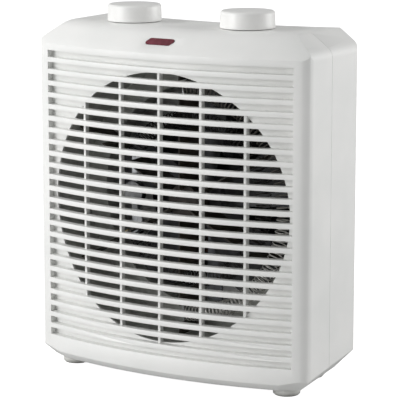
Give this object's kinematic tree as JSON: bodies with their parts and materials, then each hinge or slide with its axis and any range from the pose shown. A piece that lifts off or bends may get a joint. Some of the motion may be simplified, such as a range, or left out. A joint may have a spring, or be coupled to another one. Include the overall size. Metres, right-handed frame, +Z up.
{
  "type": "fan heater",
  "caption": "Upright portable fan heater with a bowed slatted front, round air outlet with open wire coils, two top knobs and an indicator lens.",
  "frame": {"origin": "on the ground plane under the middle of the overall width and depth, at the bottom of the feet", "axes": "+Z up, -Y out of the grille towards the room, +X to the right of somebody who faces the grille"},
  "size_m": [0.2184, 0.1098, 0.2617],
  "materials": {
    "white_plastic": "satin white moulded polypropylene",
    "lens_red": "dark red tinted acrylic",
    "lamp_glass": "neon lamp glass",
    "zinc_steel": "zinc plated sheet steel",
    "bright_steel": "plated screw steel",
    "black_plastic": "black heat resistant plastic",
    "fan_plastic": "dark grey glass filled plastic",
    "brass": "plain brass",
    "bronze": "oil soaked sintered bronze",
    "bimetal": "bimetal strip",
    "steatite": "unglazed steatite",
    "dark_steel": "dark grey painted sheet steel",
    "lamination": "stacked electrical steel",
    "copper_winding": "enamelled copper winding with tape",
    "mica": "pressed mica board",
    "resistance_wire": "oxidised resistance wire",
    "cutout_aluminium": "pressed aluminium cap",
    "fuse_body": "ceramic fuse body",
    "bush_rubber": "moulded rubber",
    "lead_brown": "brown silicone sleeve",
    "lead_blue": "blue silicone sleeve",
    "filter_fleece": "dark grey polyester fleece",
    "foot_rubber": "off-white rubber"
  },
  "bodies": {
    "casing": {"front_casing": "white_plastic", "rear_casing": "white_plastic", "indicator_lens": "lens_red", "indicator_lamp": "lamp_glass", "mode_switch": "black_plastic", "switch_tabs": "brass", "thermostat_base": "steatite", "thermostat_bimetal": "bimetal", "thermostat_contact": "brass", "control_bracket": "zinc_steel", "control_screws": "bright_steel", "air_duct": "dark_steel", "fan_shroud": "dark_steel", "shroud_screws": "bright_steel", "motor_stator": "lamination", "motor_coil": "copper_winding", "motor_front_bracket": "zinc_steel", "motor_rear_bracket": "zinc_steel", "motor_front_bush": "bronze", "motor_rear_bush": "bronze", "motor_mount": "zinc_steel", "motor_screws": "bright_steel", "mount_screws": "bright_steel", "mica_card_1": "mica", "mica_card_2": "mica", "mica_card_3": "mica", "mica_card_4": "mica", "mica_card_5": "mica", "mica_card_6": "mica", "element_hub": "steatite", "outer_coil": "resistance_wire", "inner_coil": "resistance_wire", "coil_terminals": "brass", "thermal_cutout": "cutout_aluminium", "cutout_strap": "zinc_steel", "thermal_fuse": "fuse_body", "terminal_block": "steatite", "cord_bush": "bush_rubber", "cord_clamp": "black_plastic", "clamp_screws": "bright_steel", "casing_screws": "bright_steel", "live_lead": "lead_brown", "neutral_lead": "lead_blue", "dust_filter": "filter_fleece", "foot_front_left": "foot_rubber", "foot_front_right": "foot_rubber", "foot_rear_left": "foot_rubber", "foot_rear_right": "foot_rubber"},
    "mode_control": {"mode_knob": "white_plastic", "mode_shaft": "zinc_steel"},
    "thermostat_control": {"thermostat_knob": "white_plastic", "thermostat_shaft": "zinc_steel"},
    "fan": {"fan_impeller": "fan_plastic", "fan_clip": "bright_steel", "motor_shaft": "bright_steel", "motor_rotor": "lamination"}
  },
  "joints": [
    {"name": "mode_turn", "type": "hinge", "parent": "casing", "child": "mode_control", "pos_m": [0.0458, -0.00915, 0.2492], "axis": [0, 0, -1], "range_deg": [0, 135]},
    {"name": "thermostat_turn", "type": "hinge", "parent": "casing", "child": "thermostat_control", "pos_m": [-0.0458, -0.00915, 0.2492], "axis": [0, 0, -1], "range_deg": [0, 270]},
    {"name": "fan_spin", "type": "hinge", "parent": "casing", "child": "fan", "pos_m": [0, 0.01535, 0.1252], "axis": [0, -1, 0], "continuous": true}
  ]
}
